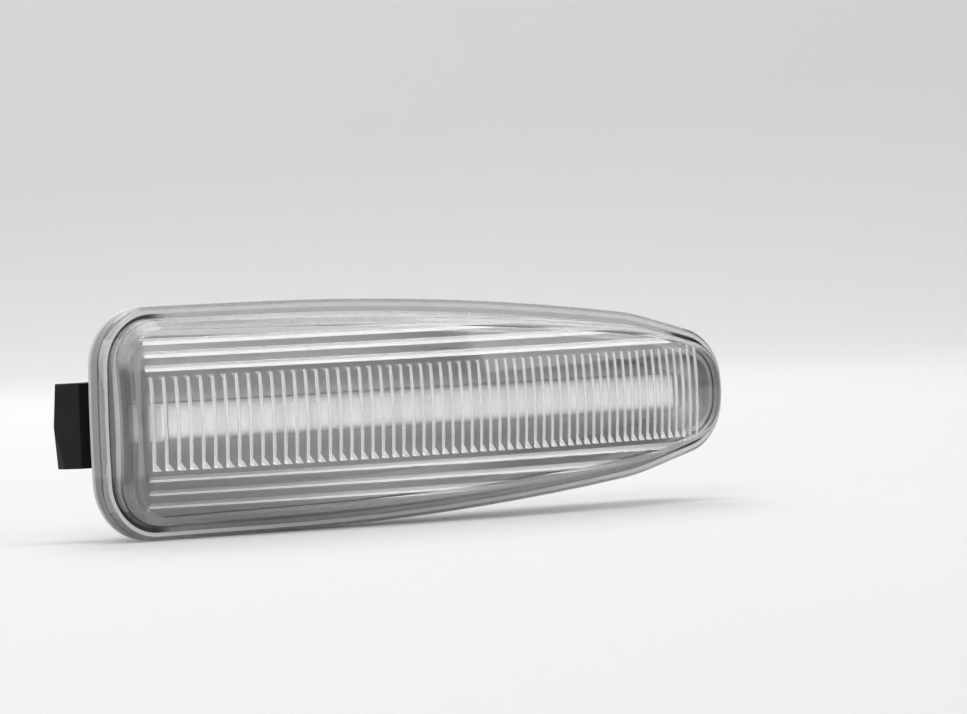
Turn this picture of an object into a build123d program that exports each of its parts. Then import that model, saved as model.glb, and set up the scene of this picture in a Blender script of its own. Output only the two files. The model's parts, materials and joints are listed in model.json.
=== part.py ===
"""Side repeater lamp: clear fluted lens, black clip-in housing, LED light bar and two-pin socket.

Millimetres. X runs from the blunt end to the tip, -Y is the lit front, +Y goes into the panel, +Z is up.
The panel seat, the back of the lens rim, is the plane Y = 0.
"""

import os
from math import asin, cos, degrees, hypot, radians, sin, tan

from build123d import *

os.makedirs("parts", exist_ok=True)

# Outline of the rim, mirrored about the X axis
END_X = -54.8
TIP_X = 56.9
END_BOW = 0.5
WIDE_X = -27.0
WIDE_Z = 16.4
SHOULDER_X = 40.2
SHOULDER_Z = 12.0
SIDE_BOW = (WIDE_Z - SHOULDER_Z) / 4
TIP_CORNER_X = 54.8
TIP_CORNER_Z = 8.0
END_CORNER_R = 8.5
SHOULDER_R = 40.0
TIP_CORNER_R = 8.4
SLIVER = 0.01

# Lens
RIM_T = 3.2
RIM_LAND = 1.05
RIM_EDGE = 0.5
GROOVE_W = 0.6
GROOVE_D = 0.9
DOME_BASE = RIM_T - GROOVE_D
DOME_INSET = RIM_LAND + GROOVE_W
DOME_DRAFT = 8.0
DOME_EDGE = 1.1
LENS_WALL = 1.9
SIDE_WALL = 1.2
CROWN_REACH = 17.0
CREST_Y = -12.4
LONG_R = 250.0
CROSS_R = 60.0
SWEEP_HALF = 15.0
RECESS_INSET = 2.0
RECESS_D = 1.6
CAVITY_INSET = DOME_INSET + SIDE_WALL
OPTIC_BITE = 0.5

# Ribs and flutes moulded inside the lens
RIB_COUNT = 58
RIB_X0 = END_X + 6.2
RIB_X1 = TIP_X - 7.5
RIB_GRADE = 0.1
RIB_TRIM_X = TIP_X - 20.6
RIB_BASE = 0.66
RIB_DEPTH = 0.4
RIB_SINK = 0.06
RIB_HALF = 5.9
FLUTE_Z = (7.7, 9.6, 11.4)
FLUTE_BASE = 0.95
FLUTE_DEPTH = 0.42
FLUTE_X0 = END_X + 5.5

# Housing
FLANGE_GAP = 0.12
TRAY_INSET = 4.9
TRAY_WALL = 1.3
TRAY_BACK = 8.0
TRAY_FLOOR = 1.6
TRAY_EDGE = 1.2
FIN_T = 1.3
FIN_SHARES = (0.215, 0.5, 0.735)
FIN_REACH = 1.7
FIN_FOOT = 0.6
FIN_TOP = 0.3
FIN_DEPTH = 5.4
POCKET_X = END_X + 18.0
POCKET_L = 11.0
POCKET_H = 9.0
POCKET_D = 0.7
CLIP_HALF = 6.0
CLIP_NOSE_X = END_X - 1.9
CLIP_EDGE_X = END_X - 0.9
CLIP_ROOT_X = END_X + 7.0
CLIP_LEAF = 1.3
CLIP_BEND_X = END_X + 0.3
CLIP_NOSE_Y = 6.3
CLIP_LIP_X = END_X + 0.8
CLIP_LIP = 0.5
CLIP_FREE_X = END_X + 3.6
CLIP_FREE_Y = 3.7
TONGUE_L = 5.0
TONGUE_H = 9.0
TONGUE_T = 2.2
TONGUE_Y = 3.0
BACK_RAIL_XS = (14.0, 30.0)
BACK_RAIL_T = 1.2
BACK_RAIL_H = 12.0
BACK_RAIL_D = 0.8
BACK_RAIL_MID = 20.0
BACK_RAIL_L = 30.0

# Socket: collar on the housing, holder pushed in from the back
SOCKET_X = -14.0
COLLAR_L = 17.6
COLLAR_H = 19.6
COLLAR_BACK = 12.0
HOLDER_L = 11.8
HOLDER_H = 15.0
HOLDER_GAP = 0.15
HOLDER_FRONT = 6.6
CAP_L = 16.4
CAP_H = 19.2
SEAL_T = 0.9
CAP_T = 2.6
SHROUD_L = 11.0
SHROUD_H = 18.6
SHROUD_WALL = 1.3
SHROUD_BACK = 30.0
SOCKET_DEPTH = 13.0
PIN_Z = 3.5
PIN_W = 1.0
PIN_TIP_Y = 24.6
PIN_TAIL_Y = 2.4
PIN_POINT = 1.0
RAIL_T = 1.4
RAIL_H = 3.2
RAIL_Z = 3.0
RAIL_SHORT = 5.0
WEB_L = 7.0
NIB_W = 3.6
NIB_H = 1.2
NIB_L = 4.0
NIB_Y = 3.0
SEAL_BACK = 1.0
CORNER_CUT = 0.3

# Light engine
BAR_END_IN = 10.1
BAR_TIP_IN = 10.1
BAR_X = (END_X + BAR_END_IN + TIP_X - BAR_TIP_IN) / 2
BAR_L = TIP_X - BAR_TIP_IN - END_X - BAR_END_IN
BAR_H = 5.3
BAR_FRONT = -2.6
BAR_FOOT_H = 6.9
BAR_FOOT_L = BAR_L + 1.0
BAR_CHANNEL_H = 4.0
BAR_FOOT_T = 0.6
BAR_EDGE_R = 0.8
LED_AIR = 0.4
BOARD_FRONT = 2.0
BOARD_T = 1.2
BOARD_L = BAR_L + 4.0
BOARD_H = 11.0
BOARD_HOLE = 1.5
LED_COUNT = 18
LED_PITCH = (BAR_L - 1.6) / LED_COUNT
LED_L = 3.5
LED_H = 2.8
LED_T = 0.7
DISH_FLOOR_T = 1.1
DISH_SIDE_INSET = CAVITY_INSET + 0.45
DISH_SIDE_T = 0.7
DISH_SEAT_T = 0.6
DISH_SEAT_GAP = 0.4
DISH_SIDE_GAP = 0.6
DISH_WALL = 0.5
DISH_GAP = 0.3
SLOT_GAP = 0.15
POST_W = 2.6
POST_SHARES = (-0.46, -0.26, 0.22, 0.45)
POST_Z = 3.6

# Parts on the back of the board: name, x and z from the bar's middle, length, height, thickness
CHIPS = (
    ("driver_chip", 3.0, 0.0, 5.0, 4.0, 1.5),
    ("resistor_a", 10.0, 1.6, 3.2, 1.6, 0.6),
    ("resistor_b", 10.0, -1.6, 3.2, 1.6, 0.6),
    ("diode", -30.0, 0.0, 4.3, 2.6, 2.0),
    ("capacitor", -37.0, 0.0, 3.2, 2.5, 2.2),
)

AXIS_Y = CREST_Y + LONG_R
BOARD_BACK = BOARD_FRONT + BOARD_T
SEAT_Y = DISH_SEAT_T - RECESS_D
TRAY_IN = TRAY_BACK - TRAY_FLOOR


def at_y(y):
    """Sketch plane facing the lit front at depth y, with local axes X and Z."""
    return Plane(origin=(0, y, 0), x_dir=(1, 0, 0), z_dir=(0, -1, 0))


def rim_outline():
    """Closed wire of the rim with its corners rounded, drawn with local axes X and Z."""
    with BuildLine() as line:
        end_top = (END_X + END_BOW, WIDE_Z)
        end_low = (END_X + END_BOW, -WIDE_Z)
        side_mid = ((WIDE_X + SHOULDER_X) / 2, (WIDE_Z + SHOULDER_Z) / 2 + SIDE_BOW)
        low_mid = (side_mid[0], -side_mid[1])
        ThreePointArc(end_low, (END_X, 0), end_top)
        Line(end_top, (WIDE_X, WIDE_Z))
        ThreePointArc((WIDE_X, WIDE_Z), side_mid, (SHOULDER_X, SHOULDER_Z))
        Line((SHOULDER_X, SHOULDER_Z), (TIP_CORNER_X, TIP_CORNER_Z))
        ThreePointArc((TIP_CORNER_X, TIP_CORNER_Z), (TIP_X, 0), (TIP_CORNER_X, -TIP_CORNER_Z))
        Line((TIP_CORNER_X, -TIP_CORNER_Z), (SHOULDER_X, -SHOULDER_Z))
        ThreePointArc((SHOULDER_X, -SHOULDER_Z), low_mid, (WIDE_X, -WIDE_Z))
        Line((WIDE_X, -WIDE_Z), end_low)
    with BuildSketch() as face:
        add(line.line)
        make_face()
        corners = face.vertices()
        fillet([v for v in corners if v.X < END_X + 5], END_CORNER_R)
        corners = face.vertices()
        fillet([v for v in corners if abs(v.X - SHOULDER_X) < 0.5], SHOULDER_R)
        corners = face.vertices()
        fillet([v for v in corners if abs(v.X - TIP_CORNER_X) < 0.5], TIP_CORNER_R)
    return face.sketch


OUTLINE = rim_outline()


def inset(distance):
    """The rim outline moved inwards, without the slivers that an offset may leave between its arcs."""
    with BuildSketch() as moved:
        add(OUTLINE)
        offset(amount=-distance, kind=Kind.ARC)
    with BuildSketch() as tidy:
        add(moved.sketch.face().outer_wire().fix_degenerate_edges(SLIVER))
        make_face()
    return tidy.sketch


def prism(distance, y0, y1, draft=0.0):
    """Solid on the inset outline from depth y0 forwards to y1, narrowing by the draft angle."""
    with BuildPart() as solid:
        with BuildSketch(at_y(y0)):
            add(inset(distance))
        if draft == 0:
            extrude(amount=y0 - y1)
        else:
            with BuildSketch(at_y(y1)):
                add(inset(distance + (y0 - y1) * tan(radians(draft))))
            loft(ruled=True)
    return solid.part


def crown(depth, reach):
    """Ring segment with the doubly curved front, set back from the crest by depth."""
    start = radians(SWEEP_HALF)
    radial = Plane(
        origin=(0, AXIS_Y, 0),
        x_dir=(-sin(start), -cos(start), 0),
        z_dir=(cos(start), -sin(start), 0),
    )
    top_r = LONG_R - depth
    edge_r = top_r - (CROSS_R - depth) + ((CROSS_R - depth) ** 2 - reach**2) ** 0.5
    with BuildPart() as ring:
        with BuildSketch(radial):
            with BuildLine():
                ThreePointArc((edge_r, reach), (top_r, 0), (edge_r, -reach))
                Polyline((edge_r, -reach), (LONG_R - 26, -reach), (LONG_R - 26, reach), (edge_r, reach))
            make_face()
        revolve(axis=Axis((0, AXIS_Y, 0), (0, 0, 1)), revolution_arc=2 * SWEEP_HALF)
    return ring.part


# The lens
with BuildPart() as shell:
    with BuildSketch(at_y(0)):
        add(OUTLINE)
    extrude(amount=RIM_T)
    chamfer(shell.faces().sort_by(Axis.Y)[0].outer_wire().edges(), RIM_EDGE)
    with BuildSketch(at_y(-RIM_T)):
        add(inset(RIM_LAND))
    extrude(amount=-GROOVE_D, mode=Mode.SUBTRACT)
    with BuildSketch(at_y(0)):
        add(inset(RECESS_INSET))
    extrude(amount=RECESS_D, mode=Mode.SUBTRACT)

with BuildPart() as dome:
    add(prism(DOME_INSET, -DOME_BASE, CREST_Y - 2, DOME_DRAFT) & crown(0, CROWN_REACH))
    crest_face = dome.faces().filter_by(GeomType.TORUS)[0]
    chamfer(crest_face.outer_wire().edges(), DOME_EDGE)

# One rib at the crest, in two straight halves that follow the cross curve
LONG_AXIS = Axis((0, AXIS_Y, 0), (0, 0, 1))
INNER_Y = CREST_Y + LENS_WALL
INNER_R = CROSS_R - LENS_WALL
RIB_END = RIB_HALF + 0.8
RIB_FALL = INNER_R - (INNER_R**2 - RIB_END**2) ** 0.5
with BuildPart() as rib:
    with BuildSketch(Plane.XY) as rib_face:
        rib_foot = RIB_BASE / 2 * (1 + OPTIC_BITE / RIB_DEPTH)
        Polygon(
            (-rib_foot, INNER_Y - RIB_SINK - OPTIC_BITE),
            (rib_foot, INNER_Y - RIB_SINK - OPTIC_BITE),
            (0, INNER_Y - RIB_SINK + RIB_DEPTH),
            align=None,
        )
    for side in (1, -1):
        extrude(rib_face.sketch, amount=hypot(RIB_FALL, RIB_END), dir=(0, RIB_FALL, side * RIB_END))
rib_body = rib.part

# The bar that ends each rib with a sloping facet
with BuildPart() as rib_bar:
    with BuildSketch(Plane.YZ):
        Polygon(
            (INNER_Y - 2, RIB_HALF + 3),
            (INNER_Y + 4, RIB_HALF - 3),
            (INNER_Y + 4, -RIB_HALF + 3),
            (INNER_Y - 2, -RIB_HALF - 3),
            align=None,
        )
    extrude(amount=2 * RIB_BASE, both=True)
rib_body = rib_body & rib_bar.part

optic_limit = prism(CAVITY_INSET - OPTIC_BITE, -DOME_BASE, CREST_Y - 2, DOME_DRAFT)
rib_bodies = []
for number in range(RIB_COUNT):
    share = number / (RIB_COUNT - 1)
    along = RIB_X0 + (RIB_X1 - RIB_X0) * (share + RIB_GRADE * share * (1 - share))
    turned = rib_body.rotate(LONG_AXIS, degrees(asin(along / LONG_R)))
    if along > RIB_TRIM_X:
        turned = turned & optic_limit
    rib_bodies.append(turned)

# Flutes above and below the ribs, swept along the long curve
flute_start = asin(-FLUTE_X0 / LONG_R)
flute_plane = Plane(
    origin=(0, AXIS_Y, 0),
    x_dir=(-sin(flute_start), -cos(flute_start), 0),
    z_dir=(cos(flute_start), -sin(flute_start), 0),
)
flute_bodies = []
for height in FLUTE_Z:
    for side in (1, -1):
        skin = LONG_R - CROSS_R + ((CROSS_R - LENS_WALL) ** 2 - height**2) ** 0.5
        z_mid = side * height
        with BuildPart() as flute:
            with BuildSketch(flute_plane):
                Polygon(
                    (skin + OPTIC_BITE, z_mid - FLUTE_BASE / 2),
                    (skin + OPTIC_BITE, z_mid + FLUTE_BASE / 2),
                    (skin, z_mid + FLUTE_BASE / 2),
                    (skin - FLUTE_DEPTH, z_mid),
                    (skin, z_mid - FLUTE_BASE / 2),
                    align=None,
                )
            revolve(axis=LONG_AXIS, revolution_arc=degrees(flute_start) + SWEEP_HALF)
        flute_bodies.append(flute.part & optic_limit)

with BuildPart() as lens:
    add(shell.part)
    add(dome.part)
    add(prism(CAVITY_INSET, 1, -DOME_BASE), mode=Mode.SUBTRACT)
    core = prism(CAVITY_INSET, -DOME_BASE, CREST_Y - 2, DOME_DRAFT) & crown(LENS_WALL, CROWN_REACH)
    add(core, mode=Mode.SUBTRACT)
    add(flute_bodies)
    add(rib_bodies)
lens.part.label = "lens"
export_step(lens.part, "parts/lens.step")


def slot_block(length, height, y0, y1):
    """Upright rounded bar centred on the socket axis, from depth y0 back to y1."""
    with BuildPart() as block:
        with BuildSketch(at_y(y1)):
            with Locations((SOCKET_X, 0)):
                SlotOverall(height, length, rotation=90)
        extrude(amount=y1 - y0)
    return block.part


def cut_block(length, height, y0, y1):
    """Upright bar with cut corners centred on the socket axis, from depth y0 back to y1."""
    with BuildPart() as block:
        with BuildSketch(at_y(y1)) as face:
            with Locations((SOCKET_X, 0)):
                Rectangle(length, height)
            chamfer(face.vertices(), CORNER_CUT * length)
        extrude(amount=y1 - y0)
    return block.part


def plain_block(x_mid, z_mid, length, height, y0, y1):
    """Box with its middle at x_mid and z_mid, from depth y0 back to y1."""
    with BuildPart() as block:
        with BuildSketch(at_y(y1)):
            with Locations((x_mid, z_mid)):
                Rectangle(length, height)
        extrude(amount=y1 - y0)
    return block.part


# The spring clip: a leaf folded back on itself, with its face ridged at mid height
with BuildPart() as leaf:
    with BuildSketch(Plane.XY.offset(-CLIP_HALF)):
        Polygon(
            (CLIP_ROOT_X, TRAY_BACK),
            (CLIP_BEND_X, TRAY_BACK),
            (CLIP_NOSE_X, CLIP_NOSE_Y),
            (CLIP_LIP_X, CLIP_FREE_Y),
            (CLIP_FREE_X, CLIP_FREE_Y - CLIP_LIP),
            (CLIP_FREE_X, CLIP_FREE_Y - CLIP_LIP + CLIP_LEAF),
            (CLIP_LIP_X + CLIP_LEAF / 3, CLIP_FREE_Y + CLIP_LEAF),
            (CLIP_NOSE_X + 1.5 * CLIP_LEAF, CLIP_NOSE_Y),
            (CLIP_BEND_X + CLIP_LEAF / 3, TRAY_BACK - CLIP_LEAF),
            (CLIP_ROOT_X, TRAY_BACK - CLIP_LEAF),
            align=None,
        )
    extrude(amount=2 * CLIP_HALF)
with BuildPart() as ridge:
    with BuildSketch(at_y(TRAY_BACK + 1)):
        Polygon(
            (CLIP_ROOT_X, CLIP_HALF),
            (CLIP_EDGE_X, CLIP_HALF),
            (CLIP_NOSE_X, 0),
            (CLIP_EDGE_X, -CLIP_HALF),
            (CLIP_ROOT_X, -CLIP_HALF),
            align=None,
        )
    extrude(amount=TRAY_BACK + 2)
spring = leaf.part & ridge.part

# Space that the gusset fins fill, sloping from the flange to the tray's wall
with BuildPart() as fin_space:
    with BuildSketch(at_y(FIN_FOOT)):
        add(inset(TRAY_INSET - FIN_REACH))
    with BuildSketch(at_y(FIN_DEPTH)):
        add(inset(TRAY_INSET - FIN_TOP))
    loft(ruled=True)
    add(prism(TRAY_INSET - FIN_REACH, FIN_FOOT, SEAT_Y / 2))

# The housing
with BuildPart() as tray:
    add(prism(TRAY_INSET, TRAY_BACK, SEAT_Y))
    chamfer(tray.faces().sort_by(Axis.Y)[-1].outer_wire().edges(), TRAY_EDGE)

with BuildPart() as housing:
    add(prism(RECESS_INSET + FLANGE_GAP, 0, SEAT_Y))
    add(tray.part)
    for fin_share in FIN_SHARES:
        fin_x = END_X + fin_share * (TIP_X - END_X)
        add(plain_block(fin_x, 0, FIN_T, 2 * WIDE_Z, SEAT_Y / 2, FIN_DEPTH) & fin_space.part)
    add(prism(TRAY_INSET + TRAY_WALL, TRAY_IN, SEAT_Y - 1), mode=Mode.SUBTRACT)
    add(slot_block(COLLAR_L, COLLAR_H, TRAY_IN, COLLAR_BACK))
    add(cut_block(HOLDER_L + 2 * HOLDER_GAP, HOLDER_H + 2 * HOLDER_GAP, 0, COLLAR_BACK + 1), mode=Mode.SUBTRACT)
    add(plain_block(POCKET_X, 0, POCKET_L, POCKET_H, TRAY_BACK - POCKET_D, TRAY_BACK + 1), mode=Mode.SUBTRACT)
    tongue_x = TIP_X - TRAY_INSET
    tongue_y1 = TONGUE_Y + TONGUE_T
    add(plain_block(tongue_x + TONGUE_L / 2 - 1, 0, TONGUE_L, TONGUE_H, TONGUE_Y, tongue_y1))
    for rail_x in BACK_RAIL_XS:
        add(plain_block(rail_x, 0, BACK_RAIL_T, BACK_RAIL_H, TRAY_BACK, TRAY_BACK + BACK_RAIL_D))
    add(plain_block(BACK_RAIL_MID, 0, BACK_RAIL_L, BACK_RAIL_T, TRAY_BACK, TRAY_BACK + BACK_RAIL_D))
    for post_share in POST_SHARES:
        post_x = BAR_X + post_share * BOARD_L
        for side in (1, -1):
            add(plain_block(post_x, side * POST_Z, POST_W, POST_W, BOARD_BACK, TRAY_IN))
    add(spring)
housing.part.label = "housing"
export_step(housing.part, "parts/housing.step")

# The socket holder, its seal and its two pins
CAP_FRONT = COLLAR_BACK + SEAL_T
CAP_BACK = CAP_FRONT + CAP_T
with BuildPart() as connector_holder:
    add(cut_block(HOLDER_L, HOLDER_H, HOLDER_FRONT, CAP_FRONT))
    add(slot_block(CAP_L, CAP_H, CAP_FRONT, CAP_BACK))
    add(slot_block(SHROUD_L, SHROUD_H, CAP_BACK, SHROUD_BACK))
    shroud_in_l = SHROUD_L - 2 * SHROUD_WALL
    shroud_in_h = SHROUD_H - 2 * SHROUD_WALL
    add(slot_block(shroud_in_l, shroud_in_h, SHROUD_BACK - SOCKET_DEPTH, SHROUD_BACK + 1), mode=Mode.SUBTRACT)
    for side in (1, -1):
        rail_at = SOCKET_X + side * (SHROUD_L / 2 + RAIL_T / 2 - 0.2)
        add(plain_block(rail_at, RAIL_Z, RAIL_T, RAIL_H, CAP_BACK, SHROUD_BACK - RAIL_SHORT))
        with BuildSketch(Plane.XY.offset(RAIL_Z - RAIL_H / 2)):
            Polygon(
                (SOCKET_X + side * (SHROUD_L / 2 - 0.5), CAP_BACK),
                (SOCKET_X + side * (CAP_L / 2), CAP_BACK),
                (SOCKET_X + side * (SHROUD_L / 2 - 0.5), CAP_BACK + WEB_L),
                align=None,
            )
        extrude(amount=RAIL_H)
    with BuildSketch(Plane.YZ.offset(SOCKET_X - NIB_W / 2)):
        Polygon(
            (SHROUD_BACK - NIB_Y - NIB_L, SHROUD_H / 2 + NIB_H),
            (SHROUD_BACK - NIB_Y, SHROUD_H / 2 - 0.3),
            (SHROUD_BACK - NIB_Y - NIB_L, SHROUD_H / 2 - 0.3),
            align=None,
        )
    extrude(amount=NIB_W)
    for side in (1, -1):
        add(plain_block(SOCKET_X, side * PIN_Z, PIN_W, PIN_W, HOLDER_FRONT - 1, SHROUD_BACK), mode=Mode.SUBTRACT)
connector_holder.part.label = "connector_holder"
export_step(connector_holder.part, "parts/connector_holder.step")

with BuildPart() as holder_seal:
    add(cut_block(CAP_L - SEAL_BACK, CAP_H - SEAL_BACK, COLLAR_BACK, CAP_FRONT))
    seal_bore = cut_block(HOLDER_L + HOLDER_GAP, HOLDER_H + HOLDER_GAP, COLLAR_BACK - 1, CAP_FRONT + 1)
    add(seal_bore, mode=Mode.SUBTRACT)
holder_seal.part.label = "holder_seal"
export_step(holder_seal.part, "parts/holder_seal.step")

for pin_name, side in (("upper", 1), ("lower", -1)):
    with BuildPart() as terminal_pin:
        add(plain_block(SOCKET_X, side * PIN_Z, PIN_W, PIN_W, PIN_TAIL_Y, PIN_TIP_Y))
        tip_face = terminal_pin.faces().sort_by(Axis.Y)[-1]
        chamfer(tip_face.edges(), PIN_POINT, PIN_W / 4)
    terminal_pin.part.label = f"terminal_pin_{pin_name}"
    export_step(terminal_pin.part, f"parts/terminal_pin_{pin_name}.step")

# The light engine
DISH_BACK = BOARD_FRONT - BAR_FOOT_T
with BuildPart() as reflector:
    add(prism(TRAY_INSET + TRAY_WALL + DISH_GAP, DISH_BACK, SEAT_Y))
    add(prism(RECESS_INSET + DISH_SEAT_GAP, SEAT_Y, -RECESS_D))
    add(prism(DISH_SIDE_INSET, -RECESS_D, -DOME_BASE))
    side_top = crown(LENS_WALL + RIB_DEPTH + DISH_SIDE_GAP, CROWN_REACH)
    add(prism(DISH_SIDE_INSET, -DOME_BASE, CREST_Y, DOME_DRAFT) & side_top)
    add(prism(DISH_SIDE_INSET + DISH_SIDE_T, -DOME_BASE, CREST_Y - 2, DOME_DRAFT), mode=Mode.SUBTRACT)
    well = prism(TRAY_INSET + TRAY_WALL + DISH_GAP + DISH_WALL, DISH_BACK - DISH_FLOOR_T, -DOME_BASE)
    add(well, mode=Mode.SUBTRACT)
    slot_l = BAR_L + 2 * SLOT_GAP
    slot_h = BAR_H + 2 * SLOT_GAP
    add(plain_block(BAR_X, 0, slot_l, slot_h, -RECESS_D - 2, DISH_BACK + 1), mode=Mode.SUBTRACT)
reflector.part.label = "reflector"
export_step(reflector.part, "parts/reflector.step")

with BuildPart() as diffuser_bar:
    add(plain_block(BAR_X, 0, BAR_L, BAR_H, BAR_FRONT, BOARD_FRONT))
    front_face = diffuser_bar.faces().sort_by(Axis.Y)[0]
    fillet(front_face.edges().filter_by(Axis.X), BAR_EDGE_R)
    add(plain_block(BAR_X, 0, BAR_FOOT_L, BAR_FOOT_H, DISH_BACK, BOARD_FRONT))
    channel_l = LED_COUNT * LED_PITCH - SLOT_GAP
    channel_y = BOARD_FRONT - LED_T - LED_AIR
    add(plain_block(BAR_X, 0, channel_l, BAR_CHANNEL_H, channel_y, BOARD_FRONT), mode=Mode.SUBTRACT)
diffuser_bar.part.label = "diffuser_bar"
export_step(diffuser_bar.part, "parts/diffuser_bar.step")

board_room = prism(TRAY_INSET + TRAY_WALL + DISH_GAP, BOARD_BACK, BOARD_FRONT)
with BuildPart() as circuit_board:
    add(plain_block(BAR_X, 0, BOARD_L, BOARD_H, BOARD_FRONT, BOARD_BACK) & board_room)
    for side in (1, -1):
        hole = plain_block(SOCKET_X, side * PIN_Z, BOARD_HOLE, BOARD_HOLE, BOARD_FRONT - 1, BOARD_BACK + 1)
        add(hole, mode=Mode.SUBTRACT)
circuit_board.part.label = "circuit_board"
export_step(circuit_board.part, "parts/circuit_board.step")

for number in range(LED_COUNT):
    led_x = BAR_X + (number - (LED_COUNT - 1) / 2) * LED_PITCH
    with BuildPart() as led:
        add(plain_block(led_x, 0, LED_L, LED_H, BOARD_FRONT - LED_T, BOARD_FRONT))
    led.part.label = f"led_{number + 1:02d}"
    export_step(led.part, f"parts/led_{number + 1:02d}.step")

for chip_name, chip_x, chip_z, chip_l, chip_h, chip_t in CHIPS:
    with BuildPart() as chip:
        add(plain_block(BAR_X + chip_x, chip_z, chip_l, chip_h, BOARD_BACK, BOARD_BACK + chip_t))
    chip.part.label = chip_name
    export_step(chip.part, f"parts/{chip_name}.step")
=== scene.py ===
import json
import math
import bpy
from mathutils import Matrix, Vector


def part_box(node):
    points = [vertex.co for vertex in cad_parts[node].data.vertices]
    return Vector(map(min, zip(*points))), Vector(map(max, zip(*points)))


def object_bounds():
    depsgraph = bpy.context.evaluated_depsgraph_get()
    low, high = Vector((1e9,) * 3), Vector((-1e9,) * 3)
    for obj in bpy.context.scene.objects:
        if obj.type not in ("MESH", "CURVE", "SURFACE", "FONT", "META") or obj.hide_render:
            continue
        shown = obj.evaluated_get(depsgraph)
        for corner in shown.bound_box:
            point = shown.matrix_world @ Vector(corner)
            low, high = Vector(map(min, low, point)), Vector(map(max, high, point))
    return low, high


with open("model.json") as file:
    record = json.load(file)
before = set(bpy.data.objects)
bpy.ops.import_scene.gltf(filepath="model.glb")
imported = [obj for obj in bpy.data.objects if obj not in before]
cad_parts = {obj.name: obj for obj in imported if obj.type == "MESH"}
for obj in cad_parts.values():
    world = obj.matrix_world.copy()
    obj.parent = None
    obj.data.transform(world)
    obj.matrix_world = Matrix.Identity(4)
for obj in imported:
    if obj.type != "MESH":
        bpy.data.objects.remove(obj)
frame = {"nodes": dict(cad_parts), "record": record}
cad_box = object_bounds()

from types import SimpleNamespace

import bpy
from mathutils import Matrix, Vector

# Lengths are metres in the lamp's own frame: X runs to the tip, Y to the back and Z up.
# Where a value marks a region, two places are a soft edge and four are a band with two soft edges.

MM = 0.001

# Camera, fitted to the lamp's frame; the last two values are the pixel where the frame's origin lies
CAM_AZIMUTH = -37.0
CAM_ELEVATION = 1.3
CAM_ROLL = -2.25
CAM_DISTANCE = 0.95
CAM_PIXELS_PER_MM = 6.9
CAM_SENSOR_MM = 36.0
CAM_CLIP = 0.01
IMAGE_W = 967
IMAGE_H = 714
ORIGIN_X = 405.0
ORIGIN_Y = 407.2

# Stage: a pale floor that sweeps up into a backdrop
FLOOR_GAP = 0.0001
FLOOR_Z = cad_box[0][2] - FLOOR_GAP
FLOOR_TONE = (0.80, 0.795, 0.79)
FLOOR_DARKEST = 0.985
FLOOR_MOTTLE_SCALE = 3.0
FLOOR_ROUGH = 0.75
FLOOR_GLOSS = 0.2
FLOOR_HALF = 2.6
FLOOR_FRONT = -2.2
SWEEP_START = 0.9
SWEEP_R = 0.9
SWEEP_TOP = 2.6
SWEEP_STEPS = 24
WORLD_TONE = (0.80, 0.80, 0.80)
WORLD_LEVEL = 0.3

# Studio lamps: name, place, the point that each one faces, width and height, watts
CENTRE = (0.0, 0.0, 0.0)
LAMPS = (
    ("top", (-0.05, -0.1, 0.95), CENTRE, (0.8, 0.45), 4.5),
    ("key", (-0.75, -0.75, 0.55), CENTRE, (0.45, 0.45), 4.0),
    ("fill", (0.8, -0.6, 0.35), CENTRE, (0.5, 0.5), 1.6),
    ("rim", (0.3, 0.75, 0.6), CENTRE, (0.6, 0.4), 2.5),
    ("wash", (0.7, 0.9, 1.5), (1.0, 1.4, 0.3), (1.2, 0.6), 7.0),
    ("wash_left", (-0.5, 0.8, 1.5), (-0.6, 1.7, 0.3), (1.2, 0.6), 6.0),
)

# Surfaces in general
SHARP_ANGLE = 26.0
PLASTIC_IOR = 1.5
GLOW_COLOR = (1.0, 1.0, 0.99, 1.0)
NOISE_DETAIL = 3.0
NOISE_ROUGH = 0.55
SOFT_DETAIL = 2.0

# Opal bar: its glow swells in front of each light source and fades towards its long edges, where its colour
# also darkens as painted shade; a painted glow lights its left end
LED_FIRST_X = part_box("led_01")[0][0] * 0.5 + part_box("led_01")[1][0] * 0.5
LED_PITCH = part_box("led_02")[0][0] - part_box("led_01")[0][0]
BAR_FOOT_REACH = 0.0005
BAR_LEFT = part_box("diffuser_bar")[0][0] + BAR_FOOT_REACH
BAR_HALF = 0.0027
BAR_ROUGH = 0.35
BAR_CLOUD_SCALE = 260.0
BAR_DARK = (0.78, 0.78, 0.78)
BAR_BRIGHT = (0.86, 0.86, 0.86)
# Painted shade: the bar's colour darkens towards its long edges
BAR_EDGE_SHADE_HALF = (0.5 * BAR_HALF, BAR_HALF)
BAR_EDGE_SHADE = 0.7
BAR_GLOW = (0.10, 0.21)
BAR_GLOW_HALF = (0.3 * BAR_HALF, BAR_HALF)
BAR_GLOW_EDGE = 0.3
# Painted light: extra glow on the bar's left end face, which the lamps hardly reach
BAR_END_X = (BAR_LEFT + 0.0001, BAR_LEFT + 0.0008)
BAR_END_GLOW = 0.2

# Silver dish: painted light and shade on its film, and a painted glow where it would catch the bar's light
DISH_METALLIC = 0.55
DISH_ROUGH = (0.36, 0.52)
DISH_FILM_SCALE = 220.0
DISH_FILM_BUMP = (0.1, 0.0001)
DISH_DARK = (0.35, 0.352, 0.355)
DISH_BRIGHT = (0.82, 0.825, 0.83)
DISH_UPPER = (0.0068, 0.0080)
DISH_UPPER_FALL = 0.7
DISH_MIDDLE = (-0.0010, 0.0030)
DISH_MIDDLE_LIGHT = 0.22
DISH_LOWER = (0.0072, 0.0084)
DISH_LOWER_LIGHT = 0.25
DISH_END = (-0.0490, -0.0460)
DISH_END_LIGHT = 0.8
DISH_TIP = (0.0462, 0.0482)
DISH_TIP_LIGHT = 0.4
DISH_FALL_X = (-0.010, 0.015)
DISH_FALL = 0.85
DISH_PLATE_X = (0.004, 0.020, 0.043, 0.046)
DISH_PLATE_Y = (-0.0012, -0.0008)
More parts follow.
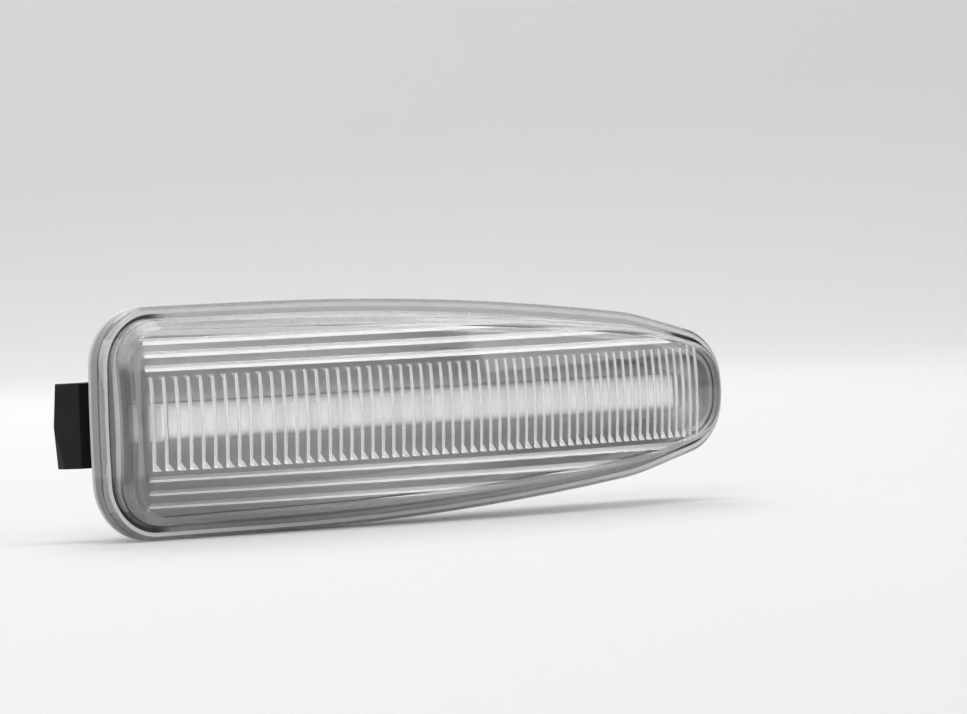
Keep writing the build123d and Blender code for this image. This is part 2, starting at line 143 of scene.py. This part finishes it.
DISH_PLATE_SHADE = 0.55
DISH_GLOW = 0.12
DISH_GLOW_HALF = (0.0024, 0.0048)
DISH_GLOW_X = (BAR_LEFT - 0.001, BAR_LEFT, 0.0480, 0.0520)

# Crown of the lens: its two radii, their common axis, and the depths that the ribs and flutes take up
LONG_R = 0.25
CROSS_R = 0.060
AXIS_Y = cad_box[0][1] + LONG_R
OPTIC_DEPTH = (0.00192, 0.00206)
OPTIC_END = (0.0029, 0.0031)
OPTIC_HALF = (0.0120, 0.0124)
OPTIC_FROST = 0.72

# The ribs' spacing, and the small wedges that each one ends in
RIB_COUNT = 58
RIB_X0 = -0.0486
RIB_X1 = 0.0494
RIB_GRADE = 0.1
WEDGE_ROW = (RIB_X0 - 0.0002, RIB_X0, 0.0462, 0.0466)
WEDGE_SKIN = (0.0016, 0.0017)
WEDGE_SIDE = (-0.03, 0.03)
WEDGE_END = (-0.05, 0.05)
WEDGE_FROST = 0.95
FOOT_Z = -0.0066
FOOT_RISE = 0.0014
FOOT_SPREAD = 0.62
HEAD_Z = 0.0065
HEAD_DROP = 0.0009
HEAD_SPREAD = 0.45
HEAD_SHARE = 0.45

# Dome of the lens: its crest, its walls and their grain
CLEAR_TONE = 0.967
CREST_EDGE = (0.0002, 0.0005, 0.0014, 0.0016)
WALL_DEPTH = (0.0031, 0.0035)
WALL_BASE = (-0.00255, -0.00245)
WALL_TONE = 0.68
WALL_FROST = 0.4
WALL_TIP = (0.0495, 0.0510)
WALL_TIP_FROST = 0.05
WALL_GRAIN = 0.45
WALL_GRAIN_SCALE = 2600.0

# Shade over the lens: low down, where it fades between the two ends, at the blunt end and at the tip
LOW_Z = (-0.0080, -0.0066)
LOW_X = (-0.0420, -0.0040)
LOW_TIP_X = (0.0300, 0.0440)
LOW_TIP_SHARE = 0.7
LOW_SHADE = 0.72
END_X = (-0.0502, -0.0485)
END_SHADE = 0.75
END_CREST_HALF = (0.0070, 0.0095)
END_CREST_SHADE = 0.35
TIP_X = (0.0515, 0.0535)
TIP_SHADE = 0.72

# Rim of the lens: its front, the lip beside the groove, its back edge and its back face; the lip and the
# back edge carry a painted highlight
RIM_FACE = (-0.0024, -0.0022)
RIM_FRONT = (-0.0036, -0.0034, -0.0027, -0.0026)
RIM_TONE = 0.58
RIM_FROST = 0.6
RIM_ROUGH = 0.2
SQUARE_ON = (0.6, 0.9)
LIP_FACE = (-0.0034, -0.0033, -0.0031, -0.0030)
LIP_HIGHLIGHT_TONE = 0.82
LIP_FROST = 0.75
BACK_EDGE = (-0.0008, -0.0005)
BACK_EDGE_HIGHLIGHT_TONE = 0.85
BACK_FACE_TONE = 0.4

# Painted shade in the groove between dome and rim: on its floor at both ends, and on its side round the
# tip's arc
GROOVE_SHADE_TONE = 0.05
GROOVE_FLOOR = (-0.00245, -0.00236, -0.00224, -0.00218)
GROOVE_LEFT = (-0.0460, -0.0410)
GROOVE_RIGHT = (0.0460, 0.0490)
GROOVE_SIDE = (0.00085, 0.00092, 0.00210, 0.00220)
GROOVE_SIDE_X = (0.0480, 0.0495)
GROOVE_SIDE_Y = (-0.0040, -0.0036, -0.00224, -0.00218)
TIP_ROUND_X = 0.04845
TIP_ROUND_Z = 0.00085
TIP_ROUND_R = 0.0084

# Finish of the lens all over
LENS_HAZE_SCALE = 420.0
LENS_HAZE = (0.02, 0.07)
LENS_FROST_ROUGH = 0.4
LENS_RIPPLE_SCALE = 160.0
LENS_RIPPLE_BUMP = (0.1, 0.0002)
LENS_SHADOW = (0.82, 0.82, 0.82, 1.0)

# Black mouldings, by slot: tone, gloss, span of roughness, scale of the grain
BLACK_FINISHES = {
    "black_plastic": (0.008, 0.25, (0.40, 0.52), 2600.0),
    "holder_plastic": (0.024, 0.5, (0.36, 0.48), 2200.0),
    "seal_rubber": (0.03, 0.2, (0.6, 0.75), 3000.0),
}
BLACK_MOTTLE_SCALE = 90.0
BLACK_DARK = (0.8, 0.8, 0.82)
BLACK_BRIGHT = (1.25, 1.25, 1.28)
BLACK_GRAIN_DETAIL = 4.0
BLACK_GRAIN_ROUGH = 0.65
BLACK_GRAIN_BUMP = (0.25, 0.0001)

# Small parts, by slot: colour, roughness, metal share, scale of the mottling
PART_FINISHES = {
    "tinned_metal": ((0.72, 0.72, 0.7), 0.3, 1.0, 500.0),
    "board": ((0.85, 0.86, 0.85), 0.45, 0.0, 300.0),
    "led_body": ((0.92, 0.86, 0.6), 0.3, 0.0, 900.0),
    "chip_black": ((0.05, 0.05, 0.05), 0.5, 0.0, 800.0),
    "chip_tan": ((0.55, 0.42, 0.28), 0.5, 0.0, 800.0),
}
PART_DARK = 0.88
PART_ROUGH = (0.85, 1.15)


def new_material(name):
    """Node material with one principled shader on its output."""
    mat = bpy.data.materials.new(name)
    mat.use_nodes = True
    tree = mat.node_tree
    tree.nodes.clear()
    out = tree.nodes.new("ShaderNodeOutputMaterial")
    shader = tree.nodes.new("ShaderNodeBsdfPrincipled")
    tree.links.new(shader.outputs["BSDF"], out.inputs["Surface"])
    return mat, tree, shader


def add_noise(tree, scale, detail=NOISE_DETAIL, rough=NOISE_ROUGH):
    """Noise from 0 to 1 in the object's own metres."""
    coords = tree.nodes.new("ShaderNodeTexCoord")
    noise = tree.nodes.new("ShaderNodeTexNoise")
    noise.inputs["Scale"].default_value = scale
    noise.inputs["Detail"].default_value = detail
    noise.inputs["Roughness"].default_value = rough
    tree.links.new(coords.outputs["Object"], noise.inputs["Vector"])
    return noise.outputs["Fac"]


def add_range(tree, source, low, high, start=0.0):
    """Maps a value from start to 1 onto a span."""
    span = tree.nodes.new("ShaderNodeMapRange")
    span.inputs["From Min"].default_value = start
    span.inputs["To Min"].default_value = low
    span.inputs["To Max"].default_value = high
    tree.links.new(source, span.inputs["Value"])
    return span.outputs["Result"]


def add_step(tree, source, edges, low=0.0, high=1.0):
    """Soft step between two edges."""
    span = tree.nodes.new("ShaderNodeMapRange")
    span.interpolation_type = "SMOOTHSTEP"
    span.inputs["From Min"].default_value = edges[0]
    span.inputs["From Max"].default_value = edges[1]
    span.inputs["To Min"].default_value = low
    span.inputs["To Max"].default_value = high
    tree.links.new(source, span.inputs["Value"])
    return span.outputs["Result"]


def add_math(tree, operation, first, second=None, third=None):
    """Math node; each input is a socket or a number."""
    node = tree.nodes.new("ShaderNodeMath")
    node.operation = operation
    for slot, value in enumerate((first, second, third)):
        if value is None:
            continue
        if isinstance(value, (int, float)):
            node.inputs[slot].default_value = value
        else:
            tree.links.new(value, node.inputs[slot])
    return node.outputs["Value"]


def add_product(tree, first, *others):
    """All values multiplied."""
    for other in others:
        first = add_math(tree, "MULTIPLY", first, other)
    return first


def add_largest(tree, first, *others):
    """The largest of the values."""
    for other in others:
        first = add_math(tree, "MAXIMUM", first, other)
    return first


def add_length(tree, first, second):
    """Length of the long side of a right triangle with these two short sides."""
    square = add_math(tree, "MULTIPLY_ADD", first, first, add_math(tree, "MULTIPLY", second, second))
    return add_math(tree, "SQRT", square)


def add_band(tree, source, edges):
    """Soft band that rises between the first two edges and falls between the last two."""
    rise = add_step(tree, source, edges[:2])
    return add_product(tree, rise, add_step(tree, source, edges[2:], 1.0, 0.0))


def add_blend(tree, share, first, second):
    """Goes from the first value to the second, a number, as the share goes from 0 to 1."""
    rest = add_product(tree, first, add_math(tree, "SUBTRACT", 1.0, share))
    return add_math(tree, "MULTIPLY_ADD", share, second, rest)


def add_shade(tree, share, level):
    """Goes from 1 to the level as the share goes from 0 to 1."""
    return add_math(tree, "MULTIPLY_ADD", share, level - 1.0, 1.0)


def add_colors(tree, source, dark, bright):
    """Colour that goes from dark to bright as the source goes from 0 to 1."""
    ramp = tree.nodes.new("ShaderNodeValToRGB")
    ramp.color_ramp.elements[0].color = (*dark, 1.0)
    ramp.color_ramp.elements[1].color = (*bright, 1.0)
    tree.links.new(source, ramp.inputs["Fac"])
    return ramp.outputs["Color"]


def add_dimmed(tree, color, level):
    """Colour times a level."""
    fade = tree.nodes.new("ShaderNodeVectorMath")
    fade.operation = "SCALE"
    tree.links.new(color, fade.inputs[0])
    tree.links.new(level, fade.inputs["Scale"])
    return fade.outputs["Vector"]


def add_bump(tree, shader, source, strength, distance):
    """Bump from a height value."""
    bump = tree.nodes.new("ShaderNodeBump")
    bump.inputs["Strength"].default_value = strength
    bump.inputs["Distance"].default_value = distance
    tree.links.new(source, bump.inputs["Height"])
    tree.links.new(bump.outputs["Normal"], shader.inputs["Normal"])


def add_axes(tree, output="Object"):
    """X, Y and Z of the object's own place in metres, or of its surface's direction."""
    coords = tree.nodes.new("ShaderNodeTexCoord")
    axes = tree.nodes.new("ShaderNodeSeparateXYZ")
    tree.links.new(coords.outputs[output], axes.inputs["Vector"])
    return axes.outputs["X"], axes.outputs["Y"], axes.outputs["Z"]


def add_facing(tree):
    """1 where the surface looks straight to the front or the back, and 0 where it is a side."""
    _, across, _ = add_axes(tree, "Normal")
    return add_step(tree, add_math(tree, "ABSOLUTE", across), SQUARE_ON)


def crown_depth(tree, x, y, z):
    """Depth below the doubly curved front of the lens."""
    along = add_math(tree, "SUBTRACT", y, AXIS_Y)
    reach = add_math(tree, "SUBTRACT", add_length(tree, along, x), LONG_R - CROSS_R)
    return add_math(tree, "SUBTRACT", CROSS_R, add_length(tree, reach, z))


def lens_place(tree):
    """Place on the lens: X, Y and Z, the height off its middle line and the depth below its crown."""
    x, y, z = add_axes(tree)
    height = add_math(tree, "ABSOLUTE", z)
    return SimpleNamespace(x=x, y=y, z=z, height=height, depth=crown_depth(tree, x, y, z))


def rib_phase(tree, at):
    """Place between two neighbouring ribs, from 0 at one to 1 at the next towards the tip."""
    along = add_math(tree, "SUBTRACT", at.y, AXIS_Y)
    chord = add_math(tree, "DIVIDE", add_product(tree, at.x, LONG_R), add_length(tree, along, at.x))
    part = add_math(tree, "DIVIDE", add_math(tree, "SUBTRACT", chord, RIB_X0), RIB_X1 - RIB_X0)
    # A rib's share s of the row solves part = lead * s - RIB_GRADE * s * s
    lead = 1.0 + RIB_GRADE
    root = add_math(tree, "SQRT", add_math(tree, "MULTIPLY_ADD", part, -4.0 * RIB_GRADE, lead * lead))
    share = add_math(tree, "DIVIDE", add_math(tree, "SUBTRACT", lead, root), 2.0 * RIB_GRADE)
    return add_math(tree, "FRACT", add_product(tree, share, RIB_COUNT - 1.0))


def rib_wedge(tree, height, spread, phase):
    """Wedge beside a rib: as wide as its spread where the rib ends, and gone at a height of 1."""
    reach = add_math(tree, "MULTIPLY_ADD", height, -spread, spread)
    side = add_step(tree, add_math(tree, "SUBTRACT", reach, phase), WEDGE_SIDE)
    return add_product(tree, side, add_step(tree, height, WEDGE_END))


def rib_ends(tree, at):
    """Frosted wedges where the ribs end: to the right at the foot, to the left at the head."""
    phase = rib_phase(tree, at)
    rise = add_math(tree, "DIVIDE", add_math(tree, "SUBTRACT", at.z, FOOT_Z), FOOT_RISE)
    foot = rib_wedge(tree, rise, FOOT_SPREAD, phase)
    drop = add_math(tree, "DIVIDE", add_math(tree, "SUBTRACT", HEAD_Z, at.z), HEAD_DROP)
    head = rib_wedge(tree, drop, HEAD_SPREAD, add_math(tree, "SUBTRACT", 1.0, phase))
    ends = add_largest(tree, foot, add_product(tree, head, HEAD_SHARE))
    inside = add_product(tree, add_step(tree, at.depth, WEDGE_SKIN), add_band(tree, at.x, WEDGE_ROW))
    return add_product(tree, ends, inside, WEDGE_FROST)


def lens_optics(tree, at):
    """Frost of the ribs and flutes, with the wedges at the ribs' ends."""
    optics = add_step(tree, at.depth, OPTIC_DEPTH)
    optics = add_product(tree, optics, add_step(tree, at.height, OPTIC_HALF, OPTIC_FROST, 0.0))
    optics = add_largest(tree, optics, rib_ends(tree, at))
    return add_product(tree, optics, add_step(tree, at.depth, OPTIC_END, 1.0, 0.0))


def tip_groove_shade(tree, at):
    """Painted shade on the side of the groove around the tip, found by its distance from the outline there.
    """
    along = add_math(tree, "SUBTRACT", at.x, TIP_ROUND_X)
    across = add_largest(tree, add_math(tree, "SUBTRACT", at.height, TIP_ROUND_Z), 0.0)
    inward = add_math(tree, "SUBTRACT", TIP_ROUND_R, add_length(tree, along, across))
    side = add_product(tree, add_band(tree, inward, GROOVE_SIDE), add_step(tree, at.x, GROOVE_SIDE_X))
    return add_product(tree, side, add_band(tree, at.y, GROOVE_SIDE_Y))


def lens_groove_shade(tree, at):
    """Painted shade on the floor of the groove at both ends, with its side around the tip."""
    left = add_step(tree, at.x, GROOVE_LEFT, 1.0, 0.0)
    right = add_step(tree, at.x, GROOVE_RIGHT)
    floor = add_product(tree, add_band(tree, at.y, GROOVE_FLOOR), add_largest(tree, left, right))
    return add_largest(tree, floor, tip_groove_shade(tree, at))


def lens_zones(tree, at):
    """Shares of the lens's regions, each from 0 to 1."""
    crest = add_band(tree, at.depth, CREST_EDGE)
    wall = add_largest(tree, crest, add_step(tree, at.depth, WALL_DEPTH), add_band(tree, at.y, RIM_FRONT))
    facing = add_facing(tree)
    back = add_step(tree, at.y, BACK_EDGE)
    return SimpleNamespace(
        crest=crest,
        wall=add_product(tree, wall, add_step(tree, at.y, WALL_BASE, 1.0, 0.0)),
        rim=add_step(tree, at.y, RIM_FACE),
        lip=add_product(tree, add_band(tree, at.y, LIP_FACE), facing),
        back=back,
        back_face=add_product(tree, back, facing),
        groove=lens_groove_shade(tree, at),
    )


def lens_frost(tree, at, zones):
    """How frosted the lens is, from clear at 0 to opaque at 1."""
    rim = add_product(tree, zones.rim, RIM_FROST)
    wall = add_product(tree, zones.wall, add_step(tree, at.x, WALL_TIP, WALL_FROST, WALL_TIP_FROST))
    lip = add_product(tree, zones.lip, LIP_FROST)
    return add_largest(tree, lens_optics(tree, at), rim, wall, lip, zones.groove)


def lens_shade(tree, at, zones):
    """Shade over the lens, low down and at both ends, with the grain of its walls."""
    low_tip = add_step(tree, at.x, LOW_TIP_X, 0.0, LOW_TIP_SHARE)
    low = add_largest(tree, add_step(tree, at.x, LOW_X, 1.0, 0.0), low_tip)
    low = add_product(tree, low, add_step(tree, at.z, LOW_Z, 1.0, 0.0))
    end = add_step(tree, at.x, END_X, 1.0, 0.0)
    end_crest = add_product(tree, end, zones.crest, add_step(tree, at.height, END_CREST_HALF, 1.0, 0.0))
    tip = add_step(tree, at.x, TIP_X)
    speck = add_range(tree, add_noise(tree, WALL_GRAIN_SCALE, SOFT_DETAIL), -WALL_GRAIN, WALL_GRAIN)
    shade = add_math(tree, "MULTIPLY_ADD", zones.wall, speck, 1.0)
    for share, level in ((low, LOW_SHADE), (end, END_SHADE), (end_crest, END_CREST_SHADE), (tip, TIP_SHADE)):
        shade = add_product(tree, shade, add_shade(tree, share, level))
    return shade


def lens_tone(tree, at, zones):
    """Grey of the lens: pale where it is clear, darker on its walls and rim, with painted shade over it and
    darkest in its groove, and painted highlights on its lip and back edge.
    """
    tone = add_math(tree, "MULTIPLY_ADD", zones.wall, WALL_TONE - CLEAR_TONE, CLEAR_TONE)
    tone = add_blend(tree, zones.rim, tone, RIM_TONE)
    tone = add_product(tree, tone, lens_shade(tree, at, zones))
    # Painted highlights: bright lines on the lip and on the rim's back edge
    tone = add_blend(tree, zones.lip, tone, LIP_HIGHLIGHT_TONE)
    tone = add_blend(tree, zones.back, tone, BACK_EDGE_HIGHLIGHT_TONE)
    tone = add_blend(tree, zones.back_face, tone, BACK_FACE_TONE)
    # Painted shade: the groove goes nearly black
    return add_blend(tree, zones.groove, tone, GROOVE_SHADE_TONE)


def pass_lamp_light(tree, shader):
    """Lets lamp light through: shadow rays meet a clear surface instead of the shader."""
    paths = tree.nodes.new("ShaderNodeLightPath")
    clear = tree.nodes.new("ShaderNodeBsdfTransparent")
    clear.inputs["Color"].default_value = LENS_SHADOW
    mix = tree.nodes.new("ShaderNodeMixShader")
    tree.links.new(paths.outputs["Is Shadow Ray"], mix.inputs["Fac"])
    tree.links.new(shader.outputs["BSDF"], mix.inputs[1])
    tree.links.new(clear.outputs["BSDF"], mix.inputs[2])
    tree.links.new(mix.outputs["Shader"], tree.nodes["Material Output"].inputs["Surface"])


def clear_lens():
    """Clear plastic, frosted on its ribs, flutes, walls and rim."""
    mat, tree, shader = new_material("clear_lens")
    shader.inputs["IOR"].default_value = PLASTIC_IOR
    at = lens_place(tree)
    zones = lens_zones(tree, at)
    frost = lens_frost(tree, at, zones)
    tree.links.new(add_math(tree, "SUBTRACT", 1.0, frost), shader.inputs["Transmission Weight"])
    tone = lens_tone(tree, at, zones)
    grey = tree.nodes.new("ShaderNodeCombineColor")
    for channel in ("Red", "Green", "Blue"):
        tree.links.new(tone, grey.inputs[channel])
    tree.links.new(grey.outputs["Color"], shader.inputs["Base Color"])
    haze = add_range(tree, add_noise(tree, LENS_HAZE_SCALE), *LENS_HAZE)
    rough = add_math(tree, "MULTIPLY_ADD", frost, LENS_FROST_ROUGH, haze)
    rough = add_math(tree, "MULTIPLY_ADD", zones.rim, RIM_ROUGH, rough)
    tree.links.new(rough, shader.inputs["Roughness"])
    add_bump(tree, shader, add_noise(tree, LENS_RIPPLE_SCALE, SOFT_DETAIL), *LENS_RIPPLE_BUMP)
    pass_lamp_light(tree, shader)
    return mat


def moulded_black(name, tone, gloss, rough, grain_scale):
    """Black plastic or rubber, a little mottled, with a fine moulded grain."""
    mat, tree, shader = new_material(name)
    shader.inputs["IOR"].default_value = PLASTIC_IOR
    shader.inputs["Specular IOR Level"].default_value = gloss
    mottle = add_noise(tree, BLACK_MOTTLE_SCALE)
    dark = [tone * c for c in BLACK_DARK]
    bright = [tone * c for c in BLACK_BRIGHT]
    tree.links.new(add_colors(tree, mottle, dark, bright), shader.inputs["Base Color"])
    tree.links.new(add_range(tree, mottle, *rough), shader.inputs["Roughness"])
    grain = add_noise(tree, grain_scale, BLACK_GRAIN_DETAIL, BLACK_GRAIN_ROUGH)
    add_bump(tree, shader, grain, *BLACK_GRAIN_BUMP)
    return mat


def dish_painted_light(tree, x, z):
    """Painted light on the film: lightest high up and at the ends, dullest in the middle of the dish."""
    fall = add_step(tree, x, DISH_FALL_X, 1.0, DISH_UPPER_FALL)
    upper = add_product(tree, add_step(tree, z, DISH_UPPER), fall)
    middle = add_step(tree, z, DISH_MIDDLE, 0.0, DISH_MIDDLE_LIGHT)
    lower = add_step(tree, add_product(tree, z, -1.0), DISH_LOWER, 0.0, DISH_LOWER_LIGHT)
    end = add_step(tree, x, DISH_END, DISH_END_LIGHT, 0.0)
    tip = add_step(tree, x, DISH_TIP, 0.0, DISH_TIP_LIGHT)
    return add_largest(tree, upper, middle, lower, end, tip)


def silver_dish():
    """Silver film with painted light and shade, duller in the middle of the dish, and a painted glow where
    it would catch some of the bar's light.
    """
    mat, tree, shader = new_material("silver_dish")
    shader.inputs["Metallic"].default_value = DISH_METALLIC
    shader.inputs["Emission Color"].default_value = GLOW_COLOR
    film = add_noise(tree, DISH_FILM_SCALE)
    tree.links.new(add_range(tree, film, *DISH_ROUGH), shader.inputs["Roughness"])
    x, y, z = add_axes(tree)
    light = dish_painted_light(tree, x, z)
    # Painted shade on the plate beside the bar, and over the right of the dish
    plate = add_product(tree, add_band(tree, x, DISH_PLATE_X), add_step(tree, y, DISH_PLATE_Y, 1.0, 0.0))
    plate = add_product(tree, plate, add_math(tree, "SUBTRACT", 1.0, light))
    fall = add_step(tree, x, DISH_FALL_X, 1.0, DISH_FALL)
    level = add_product(tree, add_shade(tree, plate, DISH_PLATE_SHADE), fall)
    color = add_colors(tree, light, DISH_DARK, DISH_BRIGHT)
    tree.links.new(add_dimmed(tree, color, level), shader.inputs["Base Color"])
    # Painted glow on the dish around the bar and in the well past its end
    glow = add_step(tree, add_math(tree, "ABSOLUTE", z), DISH_GLOW_HALF, DISH_GLOW, 0.0)
    glow = add_product(tree, glow, add_band(tree, x, DISH_GLOW_X))
    tree.links.new(glow, shader.inputs["Emission Strength"])
    add_bump(tree, shader, film, *DISH_FILM_BUMP)
    return mat


def opal_bar():
    """Opal plastic, glowing a little more in front of each light source and less along its edges, with
    painted shade along its edges and a painted glow on its left end.
    """
    mat, tree, shader = new_material("opal_bar")
    shader.inputs["Roughness"].default_value = BAR_ROUGH
    shader.inputs["Emission Color"].default_value = GLOW_COLOR
    x, _, z = add_axes(tree)
    height = add_math(tree, "ABSOLUTE", z)
    color = add_colors(tree, add_noise(tree, BAR_CLOUD_SCALE), BAR_DARK, BAR_BRIGHT)
    # Painted shade along the bar's long edges
    soft = add_step(tree, height, BAR_EDGE_SHADE_HALF, 1.0, BAR_EDGE_SHADE)
    tree.links.new(add_dimmed(tree, color, soft), shader.inputs["Base Color"])
    turn = 2 * math.pi / LED_PITCH
    phase = add_math(tree, "MULTIPLY_ADD", x, turn, math.pi / 2 - turn * LED_FIRST_X)
    glow = add_range(tree, add_math(tree, "SINE", phase), *BAR_GLOW, start=-1.0)
    face = add_product(tree, glow, add_step(tree, height, BAR_GLOW_HALF, 1.0, BAR_GLOW_EDGE))
    # Painted light: glow on the bar's left end
    end = add_step(tree, x, BAR_END_X, BAR_END_GLOW, 0.0)
    tree.links.new(add_largest(tree, face, end), shader.inputs["Emission Strength"])
    return mat


def plain_part(name, color, roughness, metallic, scale):
    """Finish of a small part: one colour, a little mottled."""
    mat, tree, shader = new_material(name)
    shader.inputs["Metallic"].default_value = metallic
    mottle = add_noise(tree, scale)
    dark = [PART_DARK * c for c in color]
    tree.links.new(add_colors(tree, mottle, dark, color), shader.inputs["Base Color"])
    low, high = (roughness * share for share in PART_ROUGH)
    tree.links.new(add_range(tree, mottle, low, high), shader.inputs["Roughness"])
    return mat


def dress_nodes():
    """Gives each solid the material of its slot, and smooth shading between its sharp edges."""
    materials = {"clear_lens": clear_lens(), "silver_dish": silver_dish(), "opal_plastic": opal_bar()}
    for slot, finish in BLACK_FINISHES.items():
        materials[slot] = moulded_black(slot, *finish)
    for slot, finish in PART_FINISHES.items():
        materials[slot] = plain_part(slot, *finish)
    for part in frame["record"]["subparts"]:
        mesh = frame["nodes"][part["node"]].data
        mesh.materials.clear()
        mesh.materials.append(materials[part["material_slot"]])
        mesh.shade_smooth()
        mesh.set_sharp_from_angle(angle=math.radians(SHARP_ANGLE))


def camera_axes():
    """Camera position and its right, up and back axes in the lamp's frame."""
    az = math.radians(CAM_AZIMUTH)
    el = math.radians(CAM_ELEVATION)
    roll = math.radians(CAM_ROLL)
    back = Vector((math.sin(az) * math.cos(el), -math.cos(az) * math.cos(el), math.sin(el)))
    right = (-back).cross(Vector((0, 0, 1))).normalized()
    up = right.cross(-back)
    turned_right = math.cos(roll) * right + math.sin(roll) * up
    turned_up = -math.sin(roll) * right + math.cos(roll) * up
    pixel = MM / CAM_PIXELS_PER_MM
    aim = turned_right * (IMAGE_W / 2 - ORIGIN_X) * pixel + turned_up * (ORIGIN_Y - IMAGE_H / 2) * pixel
    return aim + back * CAM_DISTANCE, turned_right, turned_up, back


def add_camera():
    """Camera at the fitted place, turned and zoomed to the fitted view."""
    place, right, up, back = camera_axes()
    data = bpy.data.cameras.new("camera")
    data.sensor_width = CAM_SENSOR_MM
    data.lens = CAM_PIXELS_PER_MM * CAM_DISTANCE / MM / IMAGE_W * CAM_SENSOR_MM
    data.clip_start = CAM_CLIP
    cam = bpy.data.objects.new("camera", data)
    rows = Matrix((right, up, back)).transposed().to_4x4()
    rows.translation = place
    cam.matrix_world = rows
    bpy.context.scene.collection.objects.link(cam)
    bpy.context.scene.camera = cam


def floor_paper():
    """Pale matt paper, very faintly mottled."""
    mat, tree, shader = new_material("floor")
    dark = [FLOOR_DARKEST * c for c in FLOOR_TONE]
    color = add_colors(tree, add_noise(tree, FLOOR_MOTTLE_SCALE), dark, FLOOR_TONE)
    tree.links.new(color, shader.inputs["Base Color"])
    shader.inputs["Roughness"].default_value = FLOOR_ROUGH
    shader.inputs["Specular IOR Level"].default_value = FLOOR_GLOSS
    return mat


def add_floor():
    """Pale floor that sweeps up into a backdrop behind the lamp, square to the camera's heading."""
    profile = [(FLOOR_FRONT, FLOOR_Z), (SWEEP_START, FLOOR_Z)]
    for step in range(1, SWEEP_STEPS + 1):
        angle = math.pi / 2 * step / SWEEP_STEPS
        profile.append((SWEEP_START + SWEEP_R * math.sin(angle), FLOOR_Z + SWEEP_R * (1 - math.cos(angle))))
    profile.append((SWEEP_START + SWEEP_R, SWEEP_TOP))
    verts = []
    for reach, height in profile:
        verts.append((-FLOOR_HALF, reach, height))
        verts.append((FLOOR_HALF, reach, height))
    faces = [(2 * n, 2 * n + 1, 2 * n + 3, 2 * n + 2) for n in range(len(profile) - 1)]
    mesh = bpy.data.meshes.new("floor")
    mesh.from_pydata(verts, [], faces)
    mesh.materials.append(floor_paper())
    mesh.shade_smooth()
    floor = bpy.data.objects.new("floor", mesh)
    floor.rotation_euler = (0, 0, math.radians(CAM_AZIMUTH))
    bpy.context.scene.collection.objects.link(floor)


def add_lamp(name, place, target, size, watts):
    """Rectangular area lamp that faces its target."""
    data = bpy.data.lights.new(name, "AREA")
    data.shape = "RECTANGLE"
    data.size = size[0]
    data.size_y = size[1]
    data.energy = watts
    lamp = bpy.data.objects.new(name, data)
    lamp.location = place
    lamp.rotation_euler = (Vector(target) - Vector(place)).to_track_quat("-Z", "Y").to_euler()
    bpy.context.scene.collection.objects.link(lamp)


def add_world():
    """Even grey light from all round."""
    world = bpy.data.worlds.new("studio")
    world.use_nodes = True
    sky = world.node_tree.nodes["Background"]
    sky.inputs["Color"].default_value = (*WORLD_TONE, 1.0)
    sky.inputs["Strength"].default_value = WORLD_LEVEL
    bpy.context.scene.world = world


dress_nodes()
add_camera()
add_floor()
add_world()
for lamp in LAMPS:
    add_lamp(*lamp)
bpy.context.scene.view_settings.view_transform = "Standard"
